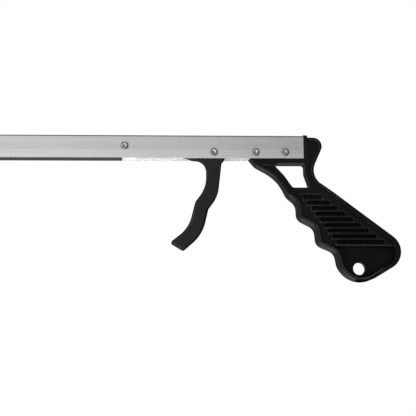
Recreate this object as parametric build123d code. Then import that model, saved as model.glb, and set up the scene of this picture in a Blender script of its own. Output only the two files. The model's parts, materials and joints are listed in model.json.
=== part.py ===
from build123d import *
import os
from math import hypot, radians, sin, tan

# Reacher grabber with an aluminium channel shaft and a moulded pistol handle.
# Millimetres. +X runs from the jaws to the handle, +Z is up, Y is across the shaft.
# The origin is the trigger pivot, on the shaft's centre plane.
# The jaws stand open and the trigger is released.

# ------------------------------------------------------------------ driving dimensions
CHANNEL_WIDTH = 12.7
CHANNEL_TOP = 14.0
CHANNEL_BOTTOM = -5.0
CHANNEL_WALL = 1.2
CHANNEL_REAR = 74.6
CHANNEL_FRONT = -425.0
CHANNEL_BEND_RADIUS = 0.7
JAW_NOTCH_LENGTH = 27.0

RIVET_RADIUS = 1.6
RIVET_HEAD_RADIUS = 3.2
RIVET_HEAD_HEIGHT = 1.0
RIVET_HOLLOW_RADIUS = 0.95
RIVET_HOLLOW_DEPTH = 2.4
RIVET_FLARE_RADIUS = 1.7
RIVET_FLARE_DEPTH = 1.1
RIVET_HOLE_RADIUS = 1.65
HANDLE_RIVET_FRONT_X = 34.7
HANDLE_RIVET_REAR_X = 59.2
STOP_RIVET_X = -73.6
STOP_RIVET_Z = 5.2

BUSH_RADIUS = 2.4
BOSS_WALL = 1.8
RUNNING_GAP = 0.05
FIT_GAP = 0.05

ROD_RADIUS = 1.5
ROD_Z = 9.2
ROD_SIDE_Y = 3.25
ROD_BEND_RADIUS = 1.72
ROD_JOG_LENGTH = 9.0
ROD_REAR_JOG_X = -17.0
ROD_FRONT_JOG_X = -398.0
ROD_END_STICKOUT = 0.5
ROD_HOLE_GAP = 0.15
SLOT_END_ROUNDNESS = 0.98
LINK_ARM_BACK_Y = 1.45
LINK_ARM_FRONT_Y = -2.7
CLIP_RADIUS = 2.6
CLIP_THICKNESS = 0.8
CLIP_GAP = 0.1

TRIGGER_SWING = 36.0
ROD_TRAVEL = 5.81
JAW_SWING = 54.0
JAW_PIVOT_X = -416.0
JAW_PIVOT_Z = ROD_Z - ROD_TRAVEL / 2 / tan(radians(JAW_SWING / 2))

MOULDING_HALF = 4.8
THRUST_FACE_HALF = 5.0
TONGUE_HALF = 5.1

GRIP_HALF = 9.0
FRAME_HALF = CHANNEL_WIDTH / 2
HANGING_HOLE_X = 119.1
HANGING_HOLE_Z = -96.6
HANGING_HOLE_RADIUS = 5.1
POCKET_WEB_HALF = 2.5

SPRING_STOP_FRONT = -82.0
SPRING_STOP_REAR = -64.0
COLLAR_FRONT = -34.0
COLLAR_LENGTH = 4.0
COLLAR_RADIUS = 3.1
SPRING_END_GAP = 0.1
SPRING_WIRE_RADIUS = 0.45
SPRING_COIL_RADIUS = 2.4
SPRING_COILS = 9

INNER_HALF = CHANNEL_WIDTH / 2 - CHANNEL_WALL
CEILING = CHANNEL_TOP - CHANNEL_WALL


# ------------------------------------------------------------------ helpers
def rounded_face(corners):
    """Face in the XZ plane through (x, z, radius) corners, each rounded by its radius."""
    edges = []
    starts = []
    ends = []
    count = len(corners)
    for i in range(count):
        x, z, radius = corners[i]
        before = corners[i - 1]
        after = corners[(i + 1) % count]
        back = Vector(before[0] - x, 0, before[1] - z).normalized()
        ahead = Vector(after[0] - x, 0, after[1] - z).normalized()
        corner = Vector(x, 0, z)
        if radius == 0:
            starts.append(corner)
            ends.append(corner)
            continue
        inner_angle = radians(back.get_angle(ahead))
        tangent_length = radius / tan(inner_angle / 2)
        centre_distance = radius / sin(inner_angle / 2)
        bisector = (back + ahead).normalized()
        start = corner + back * tangent_length
        end = corner + ahead * tangent_length
        middle = corner + bisector * (centre_distance - radius)
        edges.append(Edge.make_three_point_arc(start, middle, end))
        starts.append(start)
        ends.append(end)
    for i in range(count):
        following = starts[(i + 1) % count]
        if (following - ends[i]).length > 0.001:
            edges.append(Edge.make_line(ends[i], following))
    return Face(Wire(edges))


def slab(face, half, low=None):
    """Solid between Y = low (or -half) and Y = half, with an XZ face as its section."""
    bottom = -half if low is None else low
    return extrude(face.moved(Location((0, bottom, 0))), amount=half - bottom, dir=(0, 1, 0))


def block(x, y, z):
    """Box from three (low, high) pairs."""
    size = Box(x[1] - x[0], y[1] - y[0], z[1] - z[0])
    return Pos((x[0] + x[1]) / 2, (y[0] + y[1]) / 2, (z[0] + z[1]) / 2) * size


def cross_pin(x, z, radius, low, high):
    """Cylinder along Y."""
    turned = Rot(90, 0, 0) * Cylinder(radius, high - low)
    return Pos(x, (low + high) / 2, z) * turned


def along_pin(x_low, x_high, z, radius, y=0.0):
    """Cylinder along X."""
    turned = Rot(0, 90, 0) * Cylinder(radius, x_high - x_low)
    return Pos((x_low + x_high) / 2, y, z) * turned


def swing(shape, x, z, degrees):
    """Shape turned about the Y line through (x, z); positive carries its top towards -X."""
    turned = shape.rotate(Axis((x, 0, z), (0, -1, 0)), degrees)
    return turned


def slot_face(x, z_low, z_high, radius):
    """Upright slot in the XZ plane with very nearly round ends."""
    corner = radius * SLOT_END_ROUNDNESS
    corners = [
        (x - radius, z_low - radius, corner),
        (x + radius, z_low - radius, corner),
        (x + radius, z_high + radius, corner),
        (x - radius, z_high + radius, corner),
    ]
    return rounded_face(corners)


def rivet(x, z):
    """Semi-tubular rivet: domed head behind, rolled ring with a hollow in front."""
    half = CHANNEL_WIDTH / 2
    shank = cross_pin(x, z, RIVET_RADIUS, -half, half)
    sphere_radius = (RIVET_HEAD_RADIUS ** 2 + RIVET_HEAD_HEIGHT ** 2) / (2 * RIVET_HEAD_HEIGHT)
    ball = Sphere(sphere_radius)
    far = Pos(x, half + RIVET_HEAD_HEIGHT - sphere_radius, z) * ball
    near = Pos(x, -half - RIVET_HEAD_HEIGHT + sphere_radius, z) * ball
    head_space = cross_pin(x, z, RIVET_HEAD_RADIUS, half, half + RIVET_HEAD_HEIGHT)
    ring_space = cross_pin(x, z, RIVET_HEAD_RADIUS, -half - RIVET_HEAD_HEIGHT, -half)
    body = shank + (far & head_space) + (near & ring_space)
    mouth = -half - RIVET_HEAD_HEIGHT
    hollow = cross_pin(x, z, RIVET_HOLLOW_RADIUS, mouth, mouth + RIVET_HOLLOW_DEPTH)
    cone = Rot(90, 0, 0) * Cone(RIVET_HOLLOW_RADIUS, RIVET_FLARE_RADIUS, RIVET_FLARE_DEPTH)
    flare = Pos(x, mouth + RIVET_FLARE_DEPTH / 2, z) * cone
    return body - hollow - flare


def bush(x, z):
    """Steel spacer tube between the channel's walls, round a pivot rivet."""
    outer = cross_pin(x, z, BUSH_RADIUS, -TONGUE_HALF, TONGUE_HALF)
    return outer - cross_pin(x, z, RIVET_HOLE_RADIUS, -TONGUE_HALF, TONGUE_HALF)


# ------------------------------------------------------------------ shaft
def make_channel():
    """U channel, open side down, with rivet holes and a notch for the moving jaw."""
    x = (CHANNEL_FRONT, CHANNEL_REAR)
    half = CHANNEL_WIDTH / 2
    outer = block(x, (-half, half), (CHANNEL_BOTTOM, CHANNEL_TOP))
    top_edges = outer.edges().filter_by(Axis.X).group_by(Axis.Z)[-1]
    outer = fillet(top_edges, CHANNEL_BEND_RADIUS)
    channel = outer - block(x, (-INNER_HALF, INNER_HALF), (CHANNEL_BOTTOM, CEILING))
    notch = (CHANNEL_FRONT, CHANNEL_FRONT + JAW_NOTCH_LENGTH)
    channel -= block(notch, (-INNER_HALF, INNER_HALF), (CEILING, CHANNEL_TOP))
    for px, pz in RIVET_PLACES:
        channel -= cross_pin(px, pz, RIVET_HOLE_RADIUS, -half, half)
    return channel


# ------------------------------------------------------------------ handle
# Each outline corner is (x, z, rounding radius).
NOSE = [
    (29.5, CHANNEL_BOTTOM, 0),
    (30.7, -6.7, 0.4),
    (34.7, -11.2, 0.8),
]
FINGER_GROOVES = [
    (53.4, -21.6, 40.0),
    (61.0, -36.6, 11.0),
    (68.4, -42.5, 9.0),
    (69.2, -55.2, 7.5),
    (83.6, -62.7, 8.5),
    (84.8, -76.4, 7.5),
    (99.9, -83.1, 8.5),
    (102.0, -95.3, 15.0),
]
HORN_TOP = 12.8
FLANGE_REAR = 78.0
FLANGE_TOP = CHANNEL_TOP + 0.7
HEEL = [
    (116.3, -113.3, 20.4),
    (165.4, -84.5, 15.5),
]
NECK_AND_HORN = [
    (79.6, -19.3, 14.0),
    (94.1, HORN_TOP, 7.4),
    (FLANGE_REAR, HORN_TOP, 0.6),
    (FLANGE_REAR, FLANGE_TOP, 0.6),
    (CHANNEL_REAR, FLANGE_TOP, 0),
    (CHANNEL_REAR, CHANNEL_BOTTOM, 0),
]
WINDOW = [
    (48.8, -9.3, 1.6),
    (75.5, -9.3, 2.2),
    (75.5, -17.0, 8.0),
    (79.6, -29.6, 1.8),
    (65.0, -29.6, 2.4),
    (58.6, -20.0, 24.0),
]
LEG_TOP_Z = -10.9
GRIP_FULL_Z = -38.0
GRIP_BLEND_Z = -26.0
# The sides are sunk inside a rim, which is wider along the back of the grip than elsewhere.
RIM_WIDTH = 2.1
BACK_RIM_EXTRA = 2.2
PANEL_TOP = GRIP_FULL_Z
PANEL_DEPTH = 1.1
FRAME_SINK_DEPTH = 0.7
SLOT_COUNT = 9
SLOT_TOP_Z = -37.7
SLOT_PITCH = 4.66
SLOT_HEIGHT = 3.3
SLOT_DEPTH = 1.9
# The slots' ends follow the grip's rake: each slot starts and stops further back.
SLOT_LEFT_X = 73.2
SLOT_LEFT_STEP = 3.31
SLOT_RIGHT_X = 88.9
SLOT_RIGHT_STEP = 6.42
# A half-round rib stands proud of the panel above each slot, and one below the last.
RIB_RADIUS = 0.62
RIB_PROUD = 0.5
RIB_LEAD = 3.6
RIB_SHORTFALL = 1.5
POCKET_TOP = -78.3
GRIP_EDGE_RADIUS = 1.1
FRAME_EDGE_RADIUS = 0.8
TONGUE_FRONT = 33.0
# A box round the whole handle, for cutting it into zones.
HANDLE_SPAN_X = (20.0, 170.0)
HANDLE_SPAN_Y = (-20.0, 20.0)
HANDLE_LOWEST = -120.0
HANDLE_HIGHEST = 20.0


def thickness_prism(frame_half, grip_half):
    """Section across Y that is straight in the frame and widens towards the grip."""
    corners = [
        (-frame_half, HANDLE_HIGHEST),
        (frame_half, HANDLE_HIGHEST),
        (frame_half, GRIP_BLEND_Z),
        (grip_half, GRIP_FULL_Z),
        (grip_half, HANDLE_LOWEST),
        (-grip_half, HANDLE_LOWEST),
        (-grip_half, GRIP_FULL_Z),
        (-frame_half, GRIP_BLEND_Z),
    ]
    front, rear = HANDLE_SPAN_X
    points = [Vector(front, y, z) for y, z in corners]
    section = Face(Wire.make_polygon(points, close=True))
    return extrude(section, amount=rear - front, dir=(1, 0, 0))


def make_handle():
    """Pistol handle: tongue in the channel, window frame, horn and finger-grooved grip."""
    outline = rounded_face(NOSE + FINGER_GROOVES + HEEL + NECK_AND_HORN)
    frame = fillet(side_rim(slab(outline, FRAME_HALF), FRAME_HALF), FRAME_EDGE_RADIUS)
    frame &= block(HANDLE_SPAN_X, HANDLE_SPAN_Y, (GRIP_BLEND_Z, HANDLE_HIGHEST))
    grip_zone = block(HANDLE_SPAN_X, HANDLE_SPAN_Y, (HANDLE_LOWEST, GRIP_BLEND_Z))
    grip = slab(outline, GRIP_HALF) & grip_zone
    grip = fillet(side_rim(grip, GRIP_HALF), GRIP_EDGE_RADIUS)
    grip &= thickness_prism(FRAME_HALF, GRIP_HALF)
    body = frame + grip
    body -= slab(rounded_face(WINDOW), GRIP_HALF)
    inner = offset(outline, -RIM_WIDTH)
    body -= slab(inner, GRIP_HALF) & sunk_zone()
    grip_inner = inner & inner.moved(Location((-BACK_RIM_EXTRA, 0, 0)))
    for side in (-1, 1):
        body -= side_panel(grip_inner, side)
        body += panel_ribs(side)
    body -= cross_pin(HANGING_HOLE_X, HANGING_HOLE_Z, HANGING_HOLE_RADIUS, -GRIP_HALF, GRIP_HALF)
    tongue_z = (CHANNEL_BOTTOM, CEILING - FIT_GAP)
    body += block((TONGUE_FRONT, CHANNEL_REAR), (-TONGUE_HALF, TONGUE_HALF), tongue_z)
    for x in (HANDLE_RIVET_FRONT_X, HANDLE_RIVET_REAR_X):
        body -= cross_pin(x, 0, RIVET_HOLE_RADIUS, -TONGUE_HALF, TONGUE_HALF)
    return body


def side_rim(solid, half):
    """Edges round both side faces of a slab, without those on the channel or the grip's cut."""
    chosen = []
    for edge in solid.edges():
        middle = edge @ 0.5
        on_side = abs(abs(middle.Y) - half) < 0.001 and abs((edge @ 0).Y - (edge @ 1).Y) < 0.001
        under_channel = abs(middle.Z - CHANNEL_BOTTOM) < 0.01
        against_end = abs(middle.X - CHANNEL_REAR) < 0.01
        grip_cut = abs(middle.Z - GRIP_BLEND_Z) < 0.01
        if on_side and not (under_channel or against_end or grip_cut):
            chosen.append(edge)
    return chosen


def sunk_zone():
    """Space on both sides of the handle's core, from the horn and the window's legs to the grip."""
    core = thickness_prism(FRAME_HALF - FRAME_SINK_DEPTH, GRIP_HALF - PANEL_DEPTH)
    frame_z = (PANEL_TOP, LEG_TOP_Z)
    horn_z = (LEG_TOP_Z, HORN_TOP)
    legs = block(HANDLE_SPAN_X, HANDLE_SPAN_Y, frame_z)
    horn = block((FLANGE_REAR, HANDLE_SPAN_X[1]), HANDLE_SPAN_Y, horn_z)
    return legs + horn - core


def side_panel(inner, side):
    """What is cut from one side: the sunk panel, its slots and the pocket round the hole."""
    face_y = side * GRIP_HALF
    floor_y = face_y - side * PANEL_DEPTH
    slot_y = floor_y - side * SLOT_DEPTH
    web_y = side * POCKET_WEB_HALF
    inside = extrude(inner.moved(Location((0, face_y, 0))), amount=GRIP_HALF, dir=(0, -side, 0))
    panel = block(HANDLE_SPAN_X, sorted((face_y, floor_y)), (POCKET_TOP, PANEL_TOP)) & inside
    pocket = block(HANDLE_SPAN_X, sorted((face_y, web_y)), (HANDLE_LOWEST, POCKET_TOP)) & inside
    cut = panel + pocket
    slot_low, slot_high = sorted((face_y, slot_y))
    for i in range(SLOT_COUNT):
        z = SLOT_TOP_Z - i * SLOT_PITCH
        left = SLOT_LEFT_X + i * SLOT_LEFT_STEP
        right = SLOT_RIGHT_X + i * SLOT_RIGHT_STEP
        cut += slab(level_slot(left, right, z, SLOT_HEIGHT / 2), slot_high, slot_low)
    return cut


def level_slot(left, right, z, half_height):
    """Long slot in the XZ plane with very nearly round ends."""
    corner = half_height * SLOT_END_ROUNDNESS
    corners = [
        (left, z - half_height, corner),
        (right, z - half_height, corner),
        (right, z + half_height, corner),
        (left, z + half_height, corner),
    ]
    return rounded_face(corners)


def panel_ribs(side):
    """The ribs between one side's slots, half sunk in the panel's floor."""
    y = side * (GRIP_HALF - PANEL_DEPTH + RIB_PROUD - RIB_RADIUS)
    ribs = []
    for i in range(SLOT_COUNT + 1):
        z = SLOT_TOP_Z + SLOT_PITCH / 2 - i * SLOT_PITCH
        left = SLOT_LEFT_X + i * SLOT_LEFT_STEP - RIB_LEAD
        right = SLOT_RIGHT_X + i * SLOT_RIGHT_STEP - RIB_SHORTFALL
        ribs.append(along_pin(left, right, z, RIB_RADIUS, y))
    return ribs


# ------------------------------------------------------------------ trigger
TRIGGER_OUTLINE = [
    (-24.8, -3.0, 0.3),
    (-17.5, -5.7, 3.0),
    (-6.1, -6.6, 9.0),
    (-6.0, -28.6, 30.0),
    (-15.5, -41.2, 5.0),
    (-21.1, -62.7, 28.0),
    (-36.8, -74.7, 2.0),
    (-25.5, -81.6, 2.0),
    (-9.6, -67.8, 32.0),
    (-4.6, -46.9, 3.0),
    (3.2, -36.0, 22.0),
    (6.2, -11.0, 0),
    (6.6, -8.4, 3.0),
    (9.4, -4.95, 0.6),
    (6.8, 2.0, 4.0),
    (-7.0, 1.0, 4.0),
    (-24.4, -1.9, 0.3),
]
FINGER_REST_Z = -45.6
FINGER_REST_BLANK = 3.0
TRIGGER_LOWEST = -100.0
TRIGGER_SPAN_X = (-60.0, 30.0)
FINGER_REST_HALF = 3.9
FINGER_EDGE_RADIUS = 1.9
STEM_EDGE_RADIUS = 0.5
ARM_HALF_WIDTH = 4.2
ARM_ROOT_FLARE = 1.2
ARM_CORNER_RADIUS = 2.2
ARM_END_RADIUS = 12.3
HUB_RADIUS = 6.3


def link_arm(pivot_x, pivot_z, lean, end_radius, slot_low, slot_high):
    """Slotted lever arm above a pivot, leaning back by an angle, thin enough to clear the rod."""
    half = ARM_HALF_WIDTH
    corners = [
        (-half - ARM_ROOT_FLARE, 0, 0),
        (half + ARM_ROOT_FLARE, 0, 0),
        (half, end_radius, ARM_CORNER_RADIUS),
        (-half, end_radius, ARM_CORNER_RADIUS),
    ]
    face = rounded_face(corners) - slot_face(0, slot_low, slot_high, ROD_RADIUS + ROD_HOLE_GAP)
    arm = slab(face, LINK_ARM_BACK_Y, LINK_ARM_FRONT_Y)
    arm &= cross_pin(0, 0, end_radius, -INNER_HALF, INNER_HALF)
    return swing(arm, 0, 0, -lean).moved(Location((pivot_x, 0, pivot_z)))


def make_trigger():
    """Finger lever: web in the channel's mouth, flat stem, rounded finger rest, slotted arm."""
    outline = rounded_face(TRIGGER_OUTLINE)
    stem = slab(outline, MOULDING_HALF) & height_zone(FINGER_REST_Z, CHANNEL_TOP)
    stem = fillet(lever_edges(stem, MOULDING_HALF, FINGER_REST_Z), STEM_EDGE_RADIUS)
    blank_top = FINGER_REST_Z + FINGER_REST_BLANK
    rest = slab(outline, FINGER_REST_HALF) & height_zone(TRIGGER_LOWEST, blank_top)
    rest = fillet(lever_edges(rest, FINGER_REST_HALF, blank_top), FINGER_EDGE_RADIUS)
    rest &= height_zone(TRIGGER_LOWEST, FINGER_REST_Z)
    hub = cross_pin(0, 0, HUB_RADIUS, -MOULDING_HALF, MOULDING_HALF)
    boss = cross_pin(0, 0, BUSH_RADIUS + BOSS_WALL, -THRUST_FACE_HALF, THRUST_FACE_HALF)
    far_radius = hypot(ROD_Z, ROD_TRAVEL / 2)
    arm = link_arm(0, 0, TRIGGER_SWING / 2, ARM_END_RADIUS, ROD_Z, far_radius)
    body = stem + rest + hub + boss + arm
    body -= cross_pin(0, 0, BUSH_RADIUS + RUNNING_GAP, -THRUST_FACE_HALF, THRUST_FACE_HALF)
    return body


def height_zone(z_low, z_high):
    """Space round the trigger between two heights."""
    return block(TRIGGER_SPAN_X, (-CHANNEL_WIDTH, CHANNEL_WIDTH), (z_low, z_high))


def lever_edges(solid, half, cut_z):
    """Edges of both side faces below the channel, without the line at a zone's cut."""
    chosen = []
    for edge in solid.edges():
        middle = edge @ 0.5
        flat = abs(abs(middle.Y) - half) < 0.001 and abs((edge @ 0).Y - (edge @ 1).Y) < 0.001
        cut_line = abs(middle.Z - cut_z) < 0.001
        hidden = middle.Z > CHANNEL_BOTTOM + 0.01
        if flat and not cut_line and not hidden:
            chosen.append(edge)
    return chosen


# ------------------------------------------------------------------ push rod
def rod_path():
    """Centre line: a cross pin in the jaw arm, a jog to the middle, a jog back, a cross pin."""
    rear_x = ROD_TRAVEL / 2
    front_x = JAW_PIVOT_X + ROD_TRAVEL / 2
    pin_end = LINK_ARM_FRONT_Y - CLIP_THICKNESS - ROD_END_STICKOUT
    points = [
        (rear_x, pin_end, ROD_Z),
        (rear_x, ROD_SIDE_Y, ROD_Z),
        (ROD_REAR_JOG_X, ROD_SIDE_Y, ROD_Z),
        (ROD_REAR_JOG_X - ROD_JOG_LENGTH, 0, ROD_Z),
        (ROD_FRONT_JOG_X + ROD_JOG_LENGTH, 0, ROD_Z),
        (ROD_FRONT_JOG_X, ROD_SIDE_Y, ROD_Z),
        (front_x, ROD_SIDE_Y, ROD_Z),
        (front_x, pin_end, ROD_Z),
    ]
    return FilletPolyline(*points, radius=ROD_BEND_RADIUS)


def make_push_rod():
    path = rod_path()
    start = Plane(path @ 0, z_dir=path % 0)
    return sweep(start * Circle(ROD_RADIUS), path=path)


def rod_clip(x):
    """Push-on retaining ring over the rod's cross pin."""
    high = LINK_ARM_FRONT_Y - CLIP_GAP
    ring = cross_pin(x, ROD_Z, CLIP_RADIUS, high - CLIP_THICKNESS, high)
    return ring - cross_pin(x, ROD_Z, ROD_RADIUS, high - CLIP_THICKNESS, high)


def make_collar():
    """Crimped collar that the spring pushes against."""
    collar = along_pin(COLLAR_FRONT, COLLAR_FRONT + COLLAR_LENGTH, ROD_Z, COLLAR_RADIUS)
    return collar - along_pin(COLLAR_FRONT, COLLAR_FRONT + COLLAR_LENGTH, ROD_Z, ROD_RADIUS)


def make_spring():
    """Open compression spring between the spring stop and the collar."""
    inset = SPRING_WIRE_RADIUS + SPRING_END_GAP
    length = COLLAR_FRONT - SPRING_STOP_REAR - 2 * inset
    path = Helix(pitch=length / SPRING_COILS, height=length, radius=SPRING_COIL_RADIUS)
    start = Plane(path @ 0, z_dir=path % 0)
    coil = sweep(start * Circle(SPRING_WIRE_RADIUS), path=path, is_frenet=True)
    turned = Rot(0, 90, 0) * coil
    return Pos(SPRING_STOP_REAR + inset, 0, ROD_Z) * turned


# ------------------------------------------------------------------ blocks inside the channel
STRIP_PROUD = 0.35
STRIP_BASE = 1.6
STRIP_LEG = 1.0
STRIP_LEG_TOP = 0.0
STRIP_FRONT = -377.4
STRIP_REAR = -75.9
ROD_GUIDE_XS = {"rod_guide_rear": -200.0, "rod_guide_front": -316.0}
ROD_GUIDE_LENGTH = 10.0
STRIP_END_RADIUS = 0.9
FOOT_HALF = TONGUE_HALF - STRIP_LEG - FIT_GAP


def make_cover_strip():
    """Shallow U strip pressed into the channel's mouth, a little proud of the walls' edges."""
    x = (STRIP_FRONT, STRIP_REAR)
    underside = CHANNEL_BOTTOM - STRIP_PROUD
    strip = block(x, (-TONGUE_HALF, TONGUE_HALF), (underside, STRIP_LEG_TOP))
    hollow_half = TONGUE_HALF - STRIP_LEG
    floor = underside + STRIP_BASE
    strip -= block(x, (-hollow_half, hollow_half), (floor, STRIP_LEG_TOP))
    end_edges = strip.edges().filter_by(Axis.Z).group_by(Axis.X)[-1]
    outer_edges = [e for e in end_edges if abs((e @ 0).Y) > TONGUE_HALF - FIT_GAP]
    return fillet(outer_edges, STRIP_END_RADIUS)


def guide_block(x_low, x_high):
    """Plastic block that fills the channel above the strip and guides the rod."""
    shoulder_z = STRIP_LEG_TOP + FIT_GAP
    foot_z = CHANNEL_BOTTOM - STRIP_PROUD + STRIP_BASE + FIT_GAP
    wide = block((x_low, x_high), (-TONGUE_HALF, TONGUE_HALF), (shoulder_z, CEILING - FIT_GAP))
    foot = block((x_low, x_high), (-FOOT_HALF, FOOT_HALF), (foot_z, shoulder_z))
    return wide + foot - along_pin(x_low, x_high, ROD_Z, ROD_RADIUS + RUNNING_GAP)


def make_spring_stop():
    """Guide block that the stop rivet holds; the return spring stands on its rear face."""
    stop = guide_block(SPRING_STOP_FRONT, SPRING_STOP_REAR)
    return stop - cross_pin(STOP_RIVET_X, STOP_RIVET_Z, RIVET_HOLE_RADIUS, -TONGUE_HALF, TONGUE_HALF)


# ------------------------------------------------------------------ jaws
JAW_HALF = 10.0
JAW_TIP_X = -504.0
FIXED_JAW_OUTLINE = [
    (-378.0, CHANNEL_BOTTOM, 1.0),
    (-378.0, 7.2, 1.0),
    (-403.6, 7.2, 1.5),
    (-406.5, -2.3, 2.0),
    (-432.0, -2.3, 6.0),
    (-446.0, -9.0, 20.0),
    (-466.0, -11.0, 30.0),
    (-484.0, -3.2, 10.0),
    (JAW_TIP_X, -2.4, 1.5),
    (JAW_TIP_X, -10.8, 3.5),
    (-490.0, -11.6, 8.0),
    (-472.0, -17.5, 26.0),
    (-440.0, -15.0, 26.0),
    (-425.6, CHANNEL_BOTTOM, 0),
]
MOVING_JAW_OUTLINE = [
    (-416.0, -0.6, 1.0),
    (-416.0, 7.6, 1.0),
    (-431.0, 9.2, 8.0),
    (-444.0, 13.4, 20.0),
    (-468.0, 15.4, 28.0),
    (-490.0, 8.6, 12.0),
    (JAW_TIP_X, 7.2, 3.0),
    (JAW_TIP_X, 1.4, 1.2),
    (-484.0, 2.0, 10.0),
    (-466.0, 9.6, 26.0),
    (-446.0, 7.6, 20.0),
    (-431.0, 0.6, 7.0),
]
FIXED_JAW_ROOT_X = -430.0
MOVING_JAW_ROOT_X = -432.0
JAW_FLARE_LENGTH = 16.0
JAW_TIP_CORNER = 4.0
JAW_REAR_X = -370.0
JAW_HUB_RADIUS = 4.7
LINK_CLEARANCE_RADIUS = 3.0
LINK_CLEARANCE = 0.3
JAW_ARM_END_WALL = 1.15
# The two pads face each other across a line where the closed jaws meet.
MEETING_Z = -0.4
PAD_GAP = 0.2
PAD_FRONT = -503.0
PAD_REAR = -485.0
PAD_THICKNESS = 1.8
PAD_HALF = 8.6
PAD_RIBS = 6
PAD_GROOVE = 0.9
FIXED_PAD_BACK_Z = MEETING_Z - PAD_GAP - PAD_THICKNESS
FIXED_PAD_FACE_Z = MEETING_Z - PAD_GAP
MOVING_PAD_BACK_Z = MEETING_Z + PAD_GAP + PAD_THICKNESS
MOVING_PAD_FACE_Z = MEETING_Z + PAD_GAP
FIXED_JAW_RIVET_XS = {"fixed_jaw_rivet_front": -398.0, "fixed_jaw_rivet_rear": -384.0}
FIXED_JAW_RIVET_Z = 1.2
MAGNET_RADIUS = 3.2
MAGNET_LENGTH = 4.0
MAGNET_Z = -6.7
MAGNET_STICKOUT = 0.2
MAGNET_CHAMFER = 0.3


def jaw_plan(root_x, root_half):
    """Plan shape of a jaw: narrow at the channel, wide and round-cornered at the tip."""
    wide_x = root_x - JAW_FLARE_LENGTH
    one_side = [
        (JAW_REAR_X, root_half),
        (root_x, root_half),
        (wide_x, JAW_HALF),
        (JAW_TIP_X, JAW_HALF),
    ]
    other_side = [(x, -y) for x, y in reversed(one_side)]
    points = [Vector(x, y, 0) for x, y in one_side + other_side]
    plan = Face(Wire.make_polygon(points, close=True))
    tip_corners = [v for v in plan.vertices() if abs(v.X - JAW_TIP_X) < FIT_GAP]
    plan = plan.fillet_2d(JAW_TIP_CORNER, tip_corners)
    depth = 2 * CHANNEL_WIDTH
    return extrude(plan.moved(Location((0, 0, -depth))), amount=2 * depth, dir=(0, 0, 1))


def make_fixed_jaw():
    """Lower jaw: block riveted in the channel, thin tongue under the moving jaw, curved finger."""
    jaw = slab(rounded_face(FIXED_JAW_OUTLINE), JAW_HALF) & jaw_plan(FIXED_JAW_ROOT_X, TONGUE_HALF)
    for x in FIXED_JAW_RIVET_XS.values():
        jaw -= cross_pin(x, FIXED_JAW_RIVET_Z, RIVET_HOLE_RADIUS, -TONGUE_HALF, TONGUE_HALF)
    jaw -= along_pin(JAW_TIP_X, JAW_TIP_X + MAGNET_LENGTH, MAGNET_Z, MAGNET_RADIUS)
    return jaw - pad_seat(FIXED_PAD_BACK_Z, MOVING_PAD_BACK_Z)


def make_magnet():
    """Round magnet let into the fixed jaw's nose, a little proud of it."""
    front = JAW_TIP_X - MAGNET_STICKOUT
    magnet = along_pin(front, JAW_TIP_X + MAGNET_LENGTH, MAGNET_Z, MAGNET_RADIUS)
    return chamfer(magnet.edges().group_by(Axis.X)[0], MAGNET_CHAMFER)


def pad_seat(z_low, z_high):
    """Pocket that a pad sits in, with a fitting gap round it."""
    x = (PAD_FRONT - FIT_GAP, PAD_REAR + FIT_GAP)
    y = (-PAD_HALF - FIT_GAP, PAD_HALF + FIT_GAP)
    return block(x, y, (z_low, z_high))


def grip_pad(z_back, z_face):
    """Rubber pad with cross grooves on its gripping face."""
    pad = block((PAD_FRONT, PAD_REAR), (-PAD_HALF, PAD_HALF), sorted((z_back, z_face)))
    pitch = (PAD_REAR - PAD_FRONT) / PAD_RIBS
    for i in range(1, PAD_RIBS):
        groove = Rot(0, 45, 0) * Box(PAD_GROOVE, 2 * PAD_HALF, PAD_GROOVE)
        pad -= Pos(PAD_FRONT + i * pitch, 0, z_face) * groove
    return pad


def closed_moving_jaw():
    """Upper jaw in its closed place: hub, slotted tail and curved finger."""
    jaw = slab(rounded_face(MOVING_JAW_OUTLINE), JAW_HALF) & jaw_plan(MOVING_JAW_ROOT_X, MOULDING_HALF)
    hub_span = (-THRUST_FACE_HALF, THRUST_FACE_HALF)
    jaw += cross_pin(JAW_PIVOT_X, JAW_PIVOT_Z, JAW_HUB_RADIUS, *hub_span)
    jaw -= link_clearance(0, CLIP_RADIUS + ROD_TRAVEL / 2 + LINK_CLEARANCE)
    jaw -= link_clearance(JAW_SWING / 2, CLIP_RADIUS + LINK_CLEARANCE)
    near = ROD_Z - JAW_PIVOT_Z
    far = hypot(near, ROD_TRAVEL / 2)
    slot_radius = ROD_RADIUS + ROD_HOLE_GAP
    arm_end = far + slot_radius + JAW_ARM_END_WALL
    jaw += link_arm(JAW_PIVOT_X, JAW_PIVOT_Z, -JAW_SWING / 2, arm_end, near, far)
    jaw -= at_jaw_pivot(slab(slot_face(0, near, far, slot_radius), CHANNEL_WIDTH), JAW_SWING / 2)
    jaw -= cross_pin(JAW_PIVOT_X, JAW_PIVOT_Z, BUSH_RADIUS + RUNNING_GAP, *hub_span)
    return jaw - pad_seat(FIXED_PAD_BACK_Z, MOVING_PAD_BACK_Z)


def at_jaw_pivot(shape, turn):
    """Turns a shape drawn round the origin and sets it on the jaw's pivot."""
    return swing(shape, 0, 0, turn).moved(Location((JAW_PIVOT_X, 0, JAW_PIVOT_Z)))


def link_clearance(turn, reach):
    """Room on both sides of the jaw's arm for the rod and its clip, turned with the arm."""
    x = (-reach, CHANNEL_WIDTH)
    z = (LINK_CLEARANCE_RADIUS, CHANNEL_WIDTH)
    behind = block(x, (LINK_ARM_BACK_Y, CHANNEL_WIDTH), z)
    front = block(x, (-CHANNEL_WIDTH, LINK_ARM_FRONT_Y), z)
    return at_jaw_pivot(behind + front, turn)


def opened(shape):
    """Moves a piece of the upper jaw from its closed place to its open one."""
    return swing(shape, JAW_PIVOT_X, JAW_PIVOT_Z, -JAW_SWING)


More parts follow.
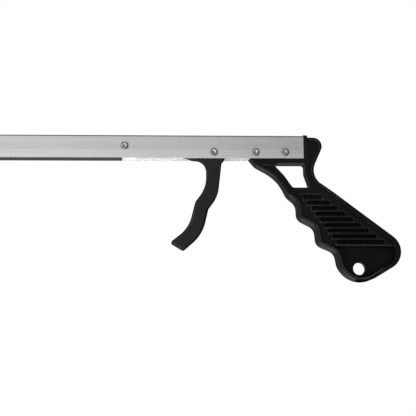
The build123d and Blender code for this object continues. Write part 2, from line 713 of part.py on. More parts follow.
# ------------------------------------------------------------------ assembly
HANDLE_RIVET_XS = {
    "handle_rivet_front": HANDLE_RIVET_FRONT_X,
    "handle_rivet_rear": HANDLE_RIVET_REAR_X,
}
RIVETS = {
    "trigger_pivot_rivet": (0.0, 0.0),
    "jaw_pivot_rivet": (JAW_PIVOT_X, JAW_PIVOT_Z),
    "stop_rivet": (STOP_RIVET_X, STOP_RIVET_Z),
}
RIVETS.update({name: (x, 0.0) for name, x in HANDLE_RIVET_XS.items()})
RIVETS.update({name: (x, FIXED_JAW_RIVET_Z) for name, x in FIXED_JAW_RIVET_XS.items()})
RIVET_PLACES = list(RIVETS.values())


def make_parts():
    """Every piece of the reacher by name."""
    parts = {
        "shaft_channel": make_channel(),
        "handle": make_handle(),
        "trigger": make_trigger(),
        "trigger_pivot_bush": bush(0, 0),
        "push_rod": make_push_rod(),
        "rod_clip_rear": rod_clip(ROD_TRAVEL / 2),
        "rod_clip_front": rod_clip(JAW_PIVOT_X + ROD_TRAVEL / 2),
        "rod_collar": make_collar(),
        "return_spring": make_spring(),
        "spring_stop": make_spring_stop(),
        "cover_strip": make_cover_strip(),
        "fixed_jaw": make_fixed_jaw(),
        "fixed_jaw_pad": grip_pad(FIXED_PAD_BACK_Z, FIXED_PAD_FACE_Z),
        "jaw_magnet": make_magnet(),
        "moving_jaw": opened(closed_moving_jaw()),
        "moving_jaw_pad": opened(grip_pad(MOVING_PAD_BACK_Z, MOVING_PAD_FACE_Z)),
        "jaw_pivot_bush": bush(JAW_PIVOT_X, JAW_PIVOT_Z),
    }
    for name, x in ROD_GUIDE_XS.items():
        parts[name] = guide_block(x - ROD_GUIDE_LENGTH / 2, x + ROD_GUIDE_LENGTH / 2)
    for name, place in RIVETS.items():
        parts[name] = rivet(*place)
    return parts


os.makedirs("parts", exist_ok=True)
for node, shape in make_parts().items():
    export_step(shape, f"parts/{node}.step")
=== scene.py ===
import json
from math import cos, pi, radians, sin

import bmesh
import bpy
from mathutils import Matrix, Vector


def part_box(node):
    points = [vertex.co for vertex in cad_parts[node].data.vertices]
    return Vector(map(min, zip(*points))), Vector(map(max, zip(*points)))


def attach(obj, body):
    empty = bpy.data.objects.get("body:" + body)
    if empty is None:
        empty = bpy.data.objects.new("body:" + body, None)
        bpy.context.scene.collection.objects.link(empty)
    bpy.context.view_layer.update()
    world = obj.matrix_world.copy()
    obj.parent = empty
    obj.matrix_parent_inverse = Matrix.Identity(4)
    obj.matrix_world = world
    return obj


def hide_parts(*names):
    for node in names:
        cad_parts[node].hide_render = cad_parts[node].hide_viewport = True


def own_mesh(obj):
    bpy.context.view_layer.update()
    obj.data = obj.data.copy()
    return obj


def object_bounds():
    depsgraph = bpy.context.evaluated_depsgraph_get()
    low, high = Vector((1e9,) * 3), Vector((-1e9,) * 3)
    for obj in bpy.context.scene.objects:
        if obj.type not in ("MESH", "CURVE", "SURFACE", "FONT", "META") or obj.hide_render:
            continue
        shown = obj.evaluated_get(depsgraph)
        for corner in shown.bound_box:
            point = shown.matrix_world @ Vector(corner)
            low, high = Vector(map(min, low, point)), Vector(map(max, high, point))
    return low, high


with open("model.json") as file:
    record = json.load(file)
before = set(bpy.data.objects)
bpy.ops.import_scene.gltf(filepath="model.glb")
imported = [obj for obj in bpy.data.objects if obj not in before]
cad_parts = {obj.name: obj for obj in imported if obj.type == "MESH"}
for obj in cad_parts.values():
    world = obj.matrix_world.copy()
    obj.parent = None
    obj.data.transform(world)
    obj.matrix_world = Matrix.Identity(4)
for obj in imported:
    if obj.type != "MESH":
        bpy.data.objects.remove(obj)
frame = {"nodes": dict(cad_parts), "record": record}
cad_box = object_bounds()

# A reacher grabber. X runs from the jaws to the handle, Z is up and Y is across the shaft, with the
# trigger's pivot at the origin. Lengths are in metres unless a comment says otherwise.
NODES = frame["nodes"]
MM = 0.001


# ------------------------------------------------------------------ shader helpers
class Graph:
    """The node tree of a material or a world, with short calls for the nodes used here."""

    def __init__(self, owner, output_kind, coordinates):
        self.owner = owner
        owner.use_nodes = True
        self.tree = owner.node_tree
        self.tree.nodes.clear()
        self.output = self.add(output_kind)
        self.place = self.add("ShaderNodeTexCoord").outputs[coordinates]

    def add(self, kind, **settings):
        node = self.tree.nodes.new(kind)
        for key, value in settings.items():
            setattr(node, key, value)
        return node

    def plug(self, value, socket):
        """Links a socket, or sets a plain value."""
        if isinstance(value, bpy.types.NodeSocket):
            self.tree.links.new(value, socket)
        else:
            socket.default_value = value

    # numbers
    def math(self, operation, a, b=0.0):
        node = self.add("ShaderNodeMath", operation=operation)
        self.plug(a, node.inputs[0])
        self.plug(b, node.inputs[1])
        return node.outputs[0]

    def plus(self, first, *others):
        for other in others:
            first = self.math("ADD", first, other)
        return first

    def times(self, first, *others):
        for other in others:
            first = self.math("MULTIPLY", first, other)
        return first

    def ramp(self, value, low, high, out_low=0.0, out_high=1.0, smooth=True):
        """Value carried from one range to another and held at its ends."""
        node = self.add("ShaderNodeMapRange")
        if smooth:
            node.interpolation_type = "SMOOTHSTEP"
        self.plug(value, node.inputs["Value"])
        for socket, number in zip(node.inputs[1:5], (low, high, out_low, out_high)):
            socket.default_value = number
        return node.outputs["Result"]

    def blend(self, mask, without, full):
        """A straight change from one number to another as a mask goes from 0 to 1."""
        return self.ramp(mask, 0.0, 1.0, without, full, smooth=False)

    def spread(self, pattern, out_low=0.0, out_high=1.0):
        """A noise's usual range carried to another one."""
        return self.ramp(pattern, 0.3, 0.7, out_low, out_high)

    # places and directions
    def part(self, vector, name):
        node = self.add("ShaderNodeSeparateXYZ")
        self.plug(vector, node.inputs[0])
        return node.outputs[name]

    def axis(self, name):
        """One coordinate."""
        return self.part(self.place, name)

    def off_middle(self):
        """Distance from the shaft's middle plane."""
        return self.math("ABSOLUTE", self.axis("Y"))

    def facing(self, name):
        """One component of the surface's true normal."""
        return self.part(self.add("ShaderNodeNewGeometry").outputs["Normal"], name)

    def stretched(self, scale):
        """Coordinates scaled by a number for each axis."""
        node = self.add("ShaderNodeVectorMath", operation="MULTIPLY")
        self.plug(self.place, node.inputs[0])
        node.inputs[1].default_value = scale
        return node.outputs[0]

    # patterns and masks
    def noise(self, scale, detail=2.0, rough=0.5, vector=None):
        node = self.add("ShaderNodeTexNoise")
        self.plug(self.place if vector is None else vector, node.inputs["Vector"])
        node.inputs["Scale"].default_value = scale
        node.inputs["Detail"].default_value = detail
        node.inputs["Roughness"].default_value = rough
        return node.outputs["Fac"]

    def rounded(self, radius):
        """Normal with corners rounded by a small radius."""
        bevel = self.add("ShaderNodeBevel", samples=6)
        bevel.inputs["Radius"].default_value = radius
        return bevel.outputs["Normal"]

    def edges(self, radius):
        """1 on corners sharper than the radius, 0 on flat faces."""
        dot = self.add("ShaderNodeVectorMath", operation="DOT_PRODUCT")
        self.plug(self.rounded(radius), dot.inputs[0])
        self.plug(self.add("ShaderNodeNewGeometry").outputs["Normal"], dot.inputs[1])
        return self.ramp(dot.outputs["Value"], 1.0, 0.86)

    def openness(self, distance, shut, clear, samples=6):
        """0 in inner corners, 1 on open faces."""
        node = self.add("ShaderNodeAmbientOcclusion", samples=samples)
        node.inputs["Distance"].default_value = distance
        return self.ramp(node.outputs["AO"], shut, clear)

    # results
    def mix(self, factor, a, b):
        node = self.add("ShaderNodeMix", data_type="RGBA")
        self.plug(factor, node.inputs["Factor"])
        self.plug(a, node.inputs[6])
        self.plug(b, node.inputs[7])
        return node.outputs[2]

    def bump(self, height, strength, distance, normal):
        node = self.add("ShaderNodeBump")
        self.plug(height, node.inputs["Height"])
        node.inputs["Strength"].default_value = strength
        node.inputs["Distance"].default_value = distance
        self.plug(normal, node.inputs["Normal"])
        return node.outputs["Normal"]

    def shader_mix(self, factor, a, b):
        node = self.add("ShaderNodeMixShader")
        self.plug(factor, node.inputs[0])
        self.plug(a, node.inputs[1])
        self.plug(b, node.inputs[2])
        return node.outputs[0]

    def finish(self, color, roughness, metallic, normal, **extra):
        """Principled surface; extra inputs are named with _ for each space."""
        shader = self.add("ShaderNodeBsdfPrincipled")
        self.plug(color, shader.inputs["Base Color"])
        self.plug(roughness, shader.inputs["Roughness"])
        self.plug(metallic, shader.inputs["Metallic"])
        self.plug(normal, shader.inputs["Normal"])
        for name, value in extra.items():
            self.plug(value, shader.inputs[name.replace("_", " ")])
        self.plug(shader.outputs[0], self.output.inputs["Surface"])
        return self.owner


def material_graph(name):
    return Graph(bpy.data.materials.new(name), "ShaderNodeOutputMaterial", "Object")


def grey(level, red=1.0, green=1.0, blue=1.0):
    """A colour near grey, as a level and a share of it for each channel."""
    return (level * red, level * green, level * blue, 1)


# ------------------------------------------------------------------ aluminium
# Zones of the channel, each as the coordinate where its mask is 0 and the one where it is 1.
OUTER_SIDE_Y = (0.0052, 0.0056)
INNER_SIDE_Y = (0.0053, 0.0052)
UPPER_BEND_Z = (0.0129, 0.0132)
BELOW_TOP_WALL_Z = (0.0131, 0.0129)
LOW_BAND_REFLECTION_Z = (0.0029, 0.0012)
LOWER_EDGE_HIGHLIGHT_Z = (-0.0040, -0.0049)
STRIP_X = (-0.0756, -0.0762)
STRIP_SHADOW_Z = (-0.0046, -0.0048)

CHANNEL_LEVEL = 0.57
CHANNEL_INSIDE_LIT_LEVEL = 0.92
CHANNEL_TINT = (0.985, 1.003, 1.006)
CHANNEL_ROUGHNESS = 0.26


def anodised():
    """Satin anodised aluminium: lengthwise grain, rougher bends, and painted light and shade."""
    g = material_graph("anodised_aluminium")
    grain = g.noise(1.0, detail=4.0, rough=0.6, vector=g.stretched((30.0, 2600.0, 2600.0)))
    die = g.noise(1.0, detail=2.0, rough=0.5, vector=g.stretched((2.0, 420.0, 420.0)))
    cloud = g.noise(18.0, detail=3.0, rough=0.5)
    height = g.axis("Z")
    across = g.off_middle()
    outside = g.ramp(across, *OUTER_SIDE_Y)
    bend = g.times(outside, g.ramp(height, *UPPER_BEND_Z))
    over_strip = g.times(outside, g.ramp(g.axis("X"), *STRIP_X), g.ramp(height, *STRIP_SHADOW_Z))
    inside = g.times(g.ramp(across, *INNER_SIDE_Y), g.ramp(height, *BELOW_TOP_WALL_Z))

    # A painted reflection of the pale ground lightens the low band, and a painted highlight
    # lightens the lower edge.
    level = g.plus(
        g.spread(grain, -0.035, 0.035),
        g.spread(die, -0.02, 0.02),
        g.spread(cloud, -0.015, 0.015),
        g.ramp(height, *LOW_BAND_REFLECTION_Z, 0.0, 0.065),
        g.ramp(height, *LOWER_EDGE_HIGHLIGHT_Z, 0.0, 0.06),
        CHANNEL_LEVEL,
    )
    # Painted shade darkens the upper bend, and a painted shadow runs along the strip's edge.
    level = g.times(level, g.blend(bend, 1.0, 0.14), g.blend(over_strip, 1.0, 0.2))
    # The inside is painted near white and mostly non-metallic, standing in for light from below.
    level = g.math("MAXIMUM", level, g.times(inside, CHANNEL_INSIDE_LIT_LEVEL))
    # Painted shade in inner corners, such as round the rivets.
    painted_corner_shade = g.blend(g.openness(0.0009, shut=0.45, clear=0.8), 0.45, 1.0)
    level = g.times(level, g.math("MAXIMUM", painted_corner_shade, inside))

    tone = g.add("ShaderNodeCombineColor")
    for share, socket in zip(CHANNEL_TINT, tone.inputs):
        g.plug(g.times(level, share), socket)
    roughness = g.plus(g.ramp(grain, 0.2, 0.8, -0.05, 0.05), CHANNEL_ROUGHNESS, g.times(bend, 0.3))
    normal = g.bump(g.plus(grain, die), strength=0.10, distance=0.00006, normal=g.rounded(0.0002))
    return g.finish(tone.outputs[0], roughness, g.blend(inside, 0.72, 0.1), normal)


# ------------------------------------------------------------------ black plastic
CORNER_MASK_RADIUS = 0.0009
# Painted highlight on the corners of the grip's front ridge: more gloss, and a paler tone.
RIDGE_HIGHLIGHT_GLOSS = 3.2
RIDGE_HIGHLIGHT_TONE = (0.17, 0.175, 0.185, 1)

# Zones of the grip. The side panel is sunk below the rim, and the slots are sunk in the panel.
GRIP_TOP_Z = (-0.0375, -0.0385)
SLOT_WALL_Y = (0.00788, 0.00780)
RIM_Y = (0.00795, 0.00805)
RIM_CREST_Y = (0.00845, 0.0087)
# From the grip's front to its back, as shares of X and Z, and where the back half begins.
ACROSS_GRIP = (0.755, 0.655)
BACK_HALF = (0.036, 0.044)
# The slots' raked ends: where the first slot lies, and the step from each slot to the next.
FIRST_SLOT_Z = -0.0377
SLOT_PITCH = 0.00466
SLOT_LEFT_X, SLOT_LEFT_STEP = 0.0732, 0.00331
SLOT_RIGHT_X, SLOT_RIGHT_STEP = 0.0889, 0.00642
SLOT_MARGIN = (-0.0025, -0.0020)
BELOW_LAST_SLOT = (8.75, 8.65)  # counted in slots
# The slots are also painted darker by this share, as shade.
SLOT_SHARE = 0.6  # how far the slots are dulled


def dull_and_shaded_rims(g):
    """Share of gloss kept on the lever: all on its flat sides; its rim and ledge keep little and
    get painted shade.
    """
    flat = g.ramp(g.math("ABSOLUTE", g.facing("Y")), 0.80, 0.97)
    return g.blend(flat, 0.15, 1.0)


def grip_back(g):
    """0 over the grip's front half, 1 over its back half."""
    share_x, share_z = ACROSS_GRIP
    across = g.plus(g.times(g.axis("X"), share_x), g.times(g.axis("Z"), share_z))
    return g.ramp(across, *BACK_HALF)


def ridge_highlight_zone(g):
    """1 on the rim's crest along the finger grooves, where a highlight is painted."""
    crest = g.ramp(g.off_middle(), *RIM_CREST_Y)
    return g.times(crest, g.math("SUBTRACT", 1.0, grip_back(g)))


def dull_and_shaded_hollows(g):
    """Share of gloss kept on the handle: less in the slots and on the rim along the grip's back,
    which get painted shade.
    """
    across = g.off_middle()
    x = g.axis("X")
    z = g.axis("Z")
    grip = g.ramp(z, *GRIP_TOP_Z)
    row = g.math("DIVIDE", g.math("SUBTRACT", FIRST_SLOT_Z, z), SLOT_PITCH)
    left = g.plus(g.times(row, SLOT_LEFT_STEP), SLOT_LEFT_X)
    right = g.plus(g.times(row, SLOT_RIGHT_STEP), SLOT_RIGHT_X)
    slots = g.times(
        grip,
        g.ramp(across, *SLOT_WALL_Y),
        g.ramp(g.math("SUBTRACT", x, left), *SLOT_MARGIN),
        g.ramp(g.math("SUBTRACT", right, x), *SLOT_MARGIN),
        g.ramp(row, *BELOW_LAST_SLOT, 0.0, SLOT_SHARE),
    )
    turned = g.math("MAXIMUM", g.ramp(g.facing("X"), -0.05, -0.2), g.edges(CORNER_MASK_RADIUS))
    rim = g.times(grip_back(g), grip, g.ramp(across, *RIM_Y), turned)
    return g.blend(g.math("MAXIMUM", slots, rim), 1.0, 0.2)


def moulded_black(name, level, roughness, gloss, edge_tone, gloss_and_light_kept=None, ridge_highlight=None):
    """Black moulded plastic: spark-textured skin, slightly glossier corners and painted shade in
    inner corners. The corners are paler, partly from wear and partly as a painted highlight.

    The last two arguments are functions that build a mask: where the gloss stays, the plastic being
    painted darker as shade where it goes; and where a highlight is painted on the corners.
    """
    g = material_graph(name)
    skin = g.noise(2600.0, detail=2.0, rough=0.55)
    cloud = g.noise(45.0, detail=3.0, rough=0.5)
    wear_and_sheen = g.edges(CORNER_MASK_RADIUS)
    scuff_and_sheen = g.times(wear_and_sheen, g.ramp(g.noise(320.0, detail=3.0, rough=0.6), 0.35, 0.7, 0.35, 1.0))
    open_face = g.openness(0.0016, shut=0.55, clear=0.9)
    tone = g.mix(g.spread(cloud), grey(level, 0.9, 0.9, 0.88), grey(level, 1.35, 1.37, 1.38))
    # Paler corners: partly wear, partly a painted highlight.
    tone = g.mix(g.times(scuff_and_sheen, 0.7), tone, grey(edge_tone))
    # Painted shade in inner corners, which also lose gloss.
    tone = g.mix(open_face, grey(level * 0.2), tone)
    shine = g.times(open_face, gloss)
    if gloss_and_light_kept is not None:
        kept = gloss_and_light_kept(g)
        shine = g.times(shine, kept)
        # Painted shade: where the gloss goes, the plastic is painted darker too.
        tone = g.mix(kept, grey(level * 0.4), tone)
    if ridge_highlight is not None:
        # Painted highlight on the ridge's corners: paler and glossier.
        ridge_highlight_mask = g.times(ridge_highlight(g), wear_and_sheen)
        shine = g.times(shine, g.blend(ridge_highlight_mask, 1.0, RIDGE_HIGHLIGHT_GLOSS))
        tone = g.mix(g.times(ridge_highlight_mask, 0.7), tone, RIDGE_HIGHLIGHT_TONE)
    rough = g.spread(cloud, roughness - 0.03, roughness + 0.04)
    rough = g.math("SUBTRACT", rough, g.times(wear_and_sheen, 0.08))
    normal = g.bump(skin, strength=0.22, distance=0.00005, normal=g.rounded(0.0006))
    return g.finish(tone, rough, 0.0, normal, Specular_IOR_Level=shine)


# ------------------------------------------------------------------ steel
def steel_skin(g):
    """Fine scratches, as a pattern and as a normal."""
    fine = g.noise(2200.0, detail=3.0, rough=0.6)
    return fine, g.bump(fine, strength=0.12, distance=0.00003, normal=g.rounded(0.00025))


def bright_steel(name, level, roughness):
    """Steel: plated or drawn, with fine scratches and painted shade in recesses."""
    g = material_graph(name)
    fine, normal = steel_skin(g)
    cloud = g.spread(g.noise(260.0, detail=3.0, rough=0.55))
    tone = g.mix(cloud, grey(level * 0.86), grey(level, blue=1.01))
    open_face = g.openness(0.0018, shut=0.35, clear=0.85, samples=8)
    tone = g.mix(open_face, grey(level * 0.10, blue=0.95), tone)
    rough = g.ramp(fine, 0.25, 0.75, roughness - 0.06, roughness + 0.08)
    return g.finish(tone, rough, 1.0, normal)


def riveted_steel():
    """Zinc-plated rivet: bright crown; painted brownish shade on its skirt, its lower half and its
    pit.
    """
    g = material_graph("zinc_plated_rivet")
    fine, normal = steel_skin(g)
    cloud = g.spread(g.noise(260.0, detail=3.0, rough=0.55))
    # Distance from the rivet's axis, as a share of the head's width.
    box = g.add("ShaderNodeTexCoord").outputs["Generated"]
    across = g.math("SUBTRACT", g.part(box, "X"), 0.5)
    up = g.math("SUBTRACT", g.part(box, "Z"), 0.5)
    radius = g.math("SQRT", g.plus(g.times(across, across), g.times(up, up)))
    # Painted shade: a dark skirt where the head meets the channel, a darker lower half and a dark
    # central pit.
    skirt = g.times(g.ramp(radius, 0.27, 0.36), 0.85)
    lower = g.times(g.ramp(up, 0.05, -0.25, 0.0, 0.75), g.ramp(radius, 0.12, 0.22))
    pit = g.times(g.ramp(radius, 0.14, 0.10), 0.6)
    painted_shade_tone = (0.155, 0.155, 0.135, 1)
    tone = g.mix(cloud, (0.50, 0.50, 0.49, 1), (0.66, 0.66, 0.66, 1))
    tone = g.mix(g.math("MAXIMUM", skirt, lower), tone, painted_shade_tone)
    tone = g.mix(pit, tone, painted_shade_tone)
    return g.finish(tone, g.ramp(fine, 0.25, 0.75, 0.26, 0.40), 0.9, normal)


# ------------------------------------------------------------------ small parts
def natural_plastic():
    """Uncoloured nylon: milky, slightly waxy."""
    g = material_graph("natural_nylon")
    cloud = g.spread(g.noise(120.0, detail=3.0, rough=0.5))
    tone = g.mix(cloud, (0.60, 0.58, 0.52, 1), (0.68, 0.66, 0.60, 1))
    normal = g.bump(g.noise(1800.0), strength=0.15, distance=0.00004, normal=g.rounded(0.0003))
    return g.finish(tone, 0.42, 0.0, normal, Subsurface_Weight=0.12, Subsurface_Scale=0.002)


def strip_black():
    """Extruded dark plastic strip: fine lengthwise drag lines."""
    g = material_graph("extruded_strip")
    drag = g.noise(1.0, detail=3.0, rough=0.6, vector=g.stretched((14.0, 1500.0, 1500.0)))
    tone = g.mix(g.spread(drag), (0.020, 0.019, 0.015, 1), (0.027, 0.026, 0.022, 1))
    normal = g.bump(drag, strength=0.18, distance=0.00006, normal=g.rounded(0.0002))
    return g.finish(tone, 0.55, 0.0, normal, Specular_IOR_Level=0.14)


def rubber():
    """Matt rubber with a dry bloom on its high spots."""
    g = material_graph("matt_rubber")
    grit = g.noise(3200.0, detail=3.0, rough=0.6)
    bloom = g.noise(170.0, detail=3.0, rough=0.55)
    tone = g.mix(g.ramp(bloom, 0.35, 0.7), (0.016, 0.016, 0.016, 1), (0.030, 0.029, 0.028, 1))
    tone = g.mix(g.times(g.edges(0.0005), 0.5), tone, (0.055, 0.054, 0.052, 1))
    normal = g.bump(grit, strength=0.4, distance=0.00008, normal=g.rounded(0.0003))
    return g.finish(tone, g.spread(bloom, 0.72, 0.86), 0.0, normal)


FINISHES = {
    "anodised_channel": anodised(),
    "black_moulding": moulded_black(
        "black_moulded_handle", level=0.0024, roughness=0.34, gloss=0.17, edge_tone=0.085,
        gloss_and_light_kept=dull_and_shaded_hollows, ridge_highlight=ridge_highlight_zone,
    ),
    "jaw_plastic": moulded_black(
        "black_moulded_jaw", level=0.007, roughness=0.40, gloss=0.36, edge_tone=0.050,
    ),
    "rivet_steel": riveted_steel(),
    "plain_steel": bright_steel("drawn_steel", level=0.55, roughness=0.28),
    "spring_steel": bright_steel("oiled_spring_steel", level=0.33, roughness=0.26),
    "magnet_plate": bright_steel("nickel_plate", level=0.64, roughness=0.18),
    "block_plastic": natural_plastic(),
    "strip_plastic": strip_black(),
    "pad_rubber": rubber(),
}
# Nodes with a finish of their own in place of their slot's.
OWN_FINISH = {
    "trigger": moulded_black(
        "black_moulded_lever", level=0.0050, roughness=0.36, gloss=0.29, edge_tone=0.008,
        gloss_and_light_kept=dull_and_shaded_rims,
    ),
}


# ------------------------------------------------------------------ dressing the carried-over nodes
SHARP_CORNER = 28  # degrees
# Voxel size and rounds of smoothing for the mouldings with slightly round corners.
SOFTENED = {
    "trigger": (0.0003, 4),
    "fixed_jaw": (0.0003, 6),
    "moving_jaw": (0.0003, 6),
}


def shade_smooth(piece):
    """Smooth shading that keeps sharp corners."""
    modifier = piece.modifiers.new("corner_shading", "EDGE_SPLIT")
    modifier.split_angle = radians(SHARP_CORNER)
    for polygon in piece.data.polygons:
        polygon.use_smooth = True


def soften(piece, voxel, rounds):
    """Voxel skin over a moulding, relaxed so that its corners come out slightly round."""
    skin = piece.modifiers.new("skin", "REMESH")
    skin.mode = "VOXEL"
    skin.voxel_size = voxel
    skin.use_smooth_shade = True
    relax = piece.modifiers.new("relax", "SMOOTH")
    relax.factor = 0.5
    relax.iterations = rounds


SLOT_OF = {row["node"]: row["material_slot"] for row in frame["record"]["subparts"]}
for name, node in NODES.items():
    node.data.materials.clear()
    node.data.materials.append(OWN_FINISH.get(name, FINISHES[SLOT_OF[name]]))
    if name in SOFTENED:
        soften(node, *SOFTENED[name])
    else:
        shade_smooth(node)


# ------------------------------------------------------------------ pieces in place of CAD nodes
def mesh_piece(mesh, name, smooth_face=lambda face: True):
    """New object from a closed bmesh, which is used up."""
    bmesh.ops.recalc_face_normals(mesh, faces=mesh.faces)
    data = bpy.data.meshes.new(name)
    mesh.to_mesh(data)
    mesh.free()
    for polygon in data.polygons:
        polygon.use_smooth = smooth_face(polygon)
    piece = bpy.data.objects.new(name, data)
    bpy.context.scene.collection.objects.link(piece)
    return piece


def stand_in(piece, node, slot):
    """Puts a piece on the tool's fixed body in place of a CAD node."""
    piece.data.materials.append(FINISHES[slot])
    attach(piece, "frame")
    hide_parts(node)


def lathe(name, profile, x, z, segments=48):
    """Solid turned about the Y line through (x, z); profile is (radius, y) from axis to axis."""
    mesh = bmesh.new()
    rings = []
    for radius, y in profile:
        if radius == 0:
            rings.append([mesh.verts.new((x, y, z))])
            continue
        ring = []
        for i in range(segments):
            angle = 2 * pi * i / segments
            ring.append(mesh.verts.new((x + radius * cos(angle), y, z + radius * sin(angle))))
        rings.append(ring)
    for a, b in zip(rings, rings[1:]):
        for i in range(segments):
            j = (i + 1) % segments
            if len(a) == 1:
                mesh.faces.new((a[0], b[i], b[j]))
            elif len(b) == 1:
                mesh.faces.new((a[i], a[j], b[0]))
            else:
                mesh.faces.new((a[i], a[j], b[j], b[i]))
    return mesh_piece(mesh, name)


# ------------------------------------------------------------------ rivets
# A rivet's outline in mm, as (radius, y from the channel's face); outwards is -y on the near side
# and +y on the far side. Arcs are (centre's radius and y, arc radius, start and end in degrees,
# steps).
CHANNEL_FACE = 6.35
NEAR_HOLLOW = [(0.0, 0.5), (0.6, 0.42), (0.85, 0.15), (0.96, -0.15)]
NEAR_RING_ARCS = [
    (1.62, -0.26, 0.64, 180, 270, 8),  # rolled lip round the hollow
    (2.05, 1.20, 2.10, 270, 302, 6),  # fall towards the rim
    (3.02, -0.42, 0.17, 300, 380, 4),  # rim
]
NEAR_SEAT = [(3.2, -0.1), (3.18, 0.02), (1.6, 0.02)]
FAR_SEAT = [(1.6, -0.02), (3.18, -0.02), (3.2, 0.12), (3.14, 0.24)]
FAR_DOME = (0.0, -4.87, 5.86, 58, 90, 8)
ON_AXIS = 1e-6


def arc(centre_radius, centre_y, radius, start, end, steps):
    """Points of a circular arc in (radius, y), by angles in degrees."""
    points = []
    for i in range(steps + 1):
        angle = radians(start + (end - start) * i / steps)
        points.append((centre_radius + radius * cos(angle), centre_y + radius * sin(angle)))
    return points


def rivet_profile():
    """Rolled ring round a hollow on the near side, shank, domed factory head on the far side."""
    near = list(NEAR_HOLLOW)
    for ring_arc in NEAR_RING_ARCS:
        near += arc(*ring_arc)
    near += NEAR_SEAT
    far = FAR_SEAT + arc(*FAR_DOME)
    points = [(r, y - CHANNEL_FACE) for r, y in near] + [(r, y + CHANNEL_FACE) for r, y in far]
    return [(r * MM if r > ON_AXIS else 0, y * MM) for r, y in points]


def make_rivets():
    for name in NODES:
        if not name.endswith("_rivet") and "_rivet_" not in name:
            continue
        low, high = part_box(name)
        middle_x, middle_z = (low.x + high.x) / 2, (low.z + high.z) / 2
        stand_in(lathe(name + "_turned", rivet_profile(), middle_x, middle_z), name, "rivet_steel")


# ------------------------------------------------------------------ return spring
WIRE_RADIUS = 0.45 * MM
WIRE_SIDES = 14
COILS = 11
CLOSED_COILS = 1.25  # at each end
STEPS_PER_COIL = 28


def make_spring():
    """Round-wire compression spring with closed end coils, set between its stop and the collar."""
    low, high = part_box("return_spring")
    middle_z = (high.z + low.z) / 2
    coil_radius = (high.z - low.z) / 2 - WIRE_RADIUS
    length = high.x - low.x - 2 * WIRE_RADIUS
    closed_pitch = 2.0 * WIRE_RADIUS
    open_coils = COILS - 2 * CLOSED_COILS
    open_length = length - 2 * CLOSED_COILS * closed_pitch
    steps = COILS * STEPS_PER_COIL
    mesh = bmesh.new()
    rings = []
    for i in range(steps + 1):
        turn = COILS * i / steps
        along = min(turn, CLOSED_COILS) * closed_pitch
        along += min(max((turn - CLOSED_COILS) / open_coils, 0.0), 1.0) * open_length
        along += max(turn - (COILS - CLOSED_COILS), 0.0) * closed_pitch
        angle = turn * 2 * pi
        out = Vector((0, cos(angle), sin(angle)))
        centre = Vector((low.x + WIRE_RADIUS + along, 0, middle_z)) + out * coil_radius
        ring = []
        for k in range(WIRE_SIDES):
            t = k * 2 * pi / WIRE_SIDES
            offset = out * WIRE_RADIUS * cos(t) + Vector((WIRE_RADIUS * sin(t), 0, 0))
            ring.append(mesh.verts.new(centre + offset))
        rings.append(ring)
    for a, b in zip(rings, rings[1:]):
        for k in range(WIRE_SIDES):
            j = (k + 1) % WIRE_SIDES
            mesh.faces.new((a[k], a[j], b[j], b[k]))
    mesh.faces.new(list(reversed(rings[0])))
    mesh.faces.new(rings[-1])
    piece = mesh_piece(mesh, "return_spring_wire", lambda face: len(face.vertices) == 4)
    stand_in(piece, "return_spring", "spring_steel")
    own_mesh(piece)


make_rivets()
make_spring()


# ------------------------------------------------------------------ stage
FLOOR_SIZE = 6.0
FLOOR_MIDDLE_X = -0.15
FLOOR_GAP = 0.0003
FLOOR_GLOW = 0.62  # share of its own light, which keeps it even

# Each as low, high, strength at low, strength at high, along a direction's coordinate.
STUDIO_SIDES = (0.04, 0.17, 0.81, 0.0)  # light on the left, dark on the right
STUDIO_DEPTH = (0.45, -0.15, 0.13, 1.0)  # dim behind the tool, light in front
STUDIO_HEIGHT = (0.85, 0.35, 0.35, 1.0)  # dimmer overhead
STUDIO_GROUND = (-0.20, -0.34, 0.0, 0.6)  # pale low down, all round

# Place, aim, width, height and watts.
SOFTBOXES = {
    "left_softbox": ((-1.5, -1.3, 0.5), (-0.1, 0, 0), 1.2, 1.0, 11),
    "right_softbox": ((0.8, -1.0, 1.0), (0.0, 0, 0), 0.5, 0.5, 2),
    "top_softbox": ((0.1, -0.1, 1.6), (-0.1, 0, 0), 1.6, 0.8, 16),
    "under_softbox": ((-0.5, -0.35, -1.1), (-0.1, 0, 0), 1.0, 0.8, 24),
    "rear_softbox": ((0.9, 1.4, 1.3), (-0.1, 0, 0), 1.2, 1.2, 10),
}

CAMERA_PLACE = (-0.05564, -0.83635, -0.17591)
CAMERA_AZIMUTH = radians(-3.472)
CAMERA_ELEVATION = radians(-8.828)
CAMERA_ROLL = radians(-0.496)
SENSOR_WIDTH = 36.0  # mm
FOCAL_LENGTH = 88.985  # mm


def make_floor():
    """Evenly pale floor under the part, seen only from above and left out of reflections."""
    floor_z = cad_box[0][2] - FLOOR_GAP
    bpy.ops.mesh.primitive_plane_add(size=FLOOR_SIZE, location=(FLOOR_MIDDLE_X, 0, floor_z))
    floor = bpy.context.object
    floor.name = "floor"
    g = material_graph("pale_floor")
    tone = g.mix(g.spread(g.noise(3.0, detail=2.0, rough=0.5)), grey(0.80), grey(0.83))
    diffuse = g.add("ShaderNodeBsdfDiffuse")
    g.plug(tone, diffuse.inputs["Color"])
    glow = g.add("ShaderNodeEmission")
    g.plug(tone, glow.inputs["Color"])
    even = g.shader_mix(FLOOR_GLOW, diffuse.outputs[0], glow.outputs[0])
    path = g.add("ShaderNodeLightPath")
    unseen = g.add("ShaderNodeNewGeometry").outputs["Backfacing"]
    for ray in ("Is Shadow Ray", "Is Glossy Ray"):
        unseen = g.math("MAXIMUM", unseen, path.outputs[ray])
    surface = g.shader_mix(unseen, even, g.add("ShaderNodeBsdfTransparent").outputs[0])
    g.plug(surface, g.output.inputs["Surface"])
    floor.data.materials.append(g.owner)


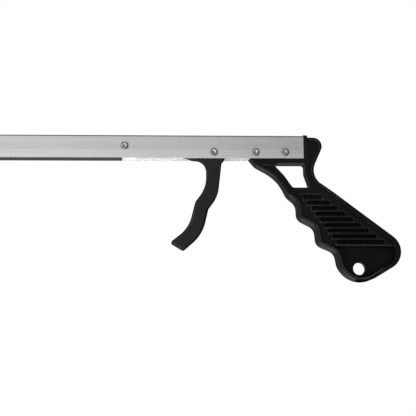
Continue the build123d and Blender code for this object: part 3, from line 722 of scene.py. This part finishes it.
def make_world():
    """White to the camera; to the part, a studio lit from the left front, dim behind it."""
    world = bpy.data.worlds.new("studio")
    bpy.context.scene.world = world
    g = Graph(world, "ShaderNodeOutputWorld", "Generated")
    strength = g.times(
        g.ramp(g.axis("X"), *STUDIO_SIDES),
        g.ramp(g.axis("Y"), *STUDIO_DEPTH),
        g.ramp(g.axis("Z"), *STUDIO_HEIGHT),
    )
    strength = g.math("MAXIMUM", strength, g.ramp(g.axis("Z"), *STUDIO_GROUND))
    around = g.add("ShaderNodeBackground")
    g.plug(strength, around.inputs["Strength"])
    seen = g.add("ShaderNodeBackground")
    for background in (around, seen):
        background.inputs["Color"].default_value = grey(1)
    to_camera = g.add("ShaderNodeLightPath").outputs["Is Camera Ray"]
    surface = g.shader_mix(to_camera, around.outputs[0], seen.outputs[0])
    g.plug(surface, g.output.inputs["Surface"])


def soft_light(name, place, aim, width, height, watts):
    data = bpy.data.lights.new(name, "AREA")
    data.shape = "RECTANGLE"
    data.size = width
    data.size_y = height
    data.energy = watts
    lamp = bpy.data.objects.new(name, data)
    lamp.location = place
    lamp.rotation_euler = (Vector(aim) - Vector(place)).to_track_quat("-Z", "Y").to_euler()
    bpy.context.scene.collection.objects.link(lamp)


def make_camera():
    """Camera below the tool, a little ahead of the trigger, looking slightly up at its side."""
    behind = Vector((
        sin(CAMERA_AZIMUTH) * cos(CAMERA_ELEVATION),
        -cos(CAMERA_AZIMUTH) * cos(CAMERA_ELEVATION),
        sin(CAMERA_ELEVATION),
    ))
    level = Vector((cos(CAMERA_AZIMUTH), sin(CAMERA_AZIMUTH), 0))
    up = behind.cross(level)
    right = level * cos(CAMERA_ROLL) + up * sin(CAMERA_ROLL)
    top = up * cos(CAMERA_ROLL) - level * sin(CAMERA_ROLL)
    data = bpy.data.cameras.new("camera")
    data.sensor_width = SENSOR_WIDTH
    data.lens = FOCAL_LENGTH
    data.clip_start = 0.01
    data.clip_end = 20.0
    camera = bpy.data.objects.new("camera", data)
    turn = Matrix((right, top, behind)).transposed()
    camera.matrix_world = Matrix.Translation(Vector(CAMERA_PLACE)) @ turn.to_4x4()
    bpy.context.scene.collection.objects.link(camera)
    bpy.context.scene.camera = camera


make_floor()
make_world()
for name, settings in SOFTBOXES.items():
    soft_light(name, *settings)
make_camera()
bpy.context.scene.view_settings.view_transform = "Standard"
bpy.context.scene.view_settings.look = "None"


bpy.context.view_layer.update()
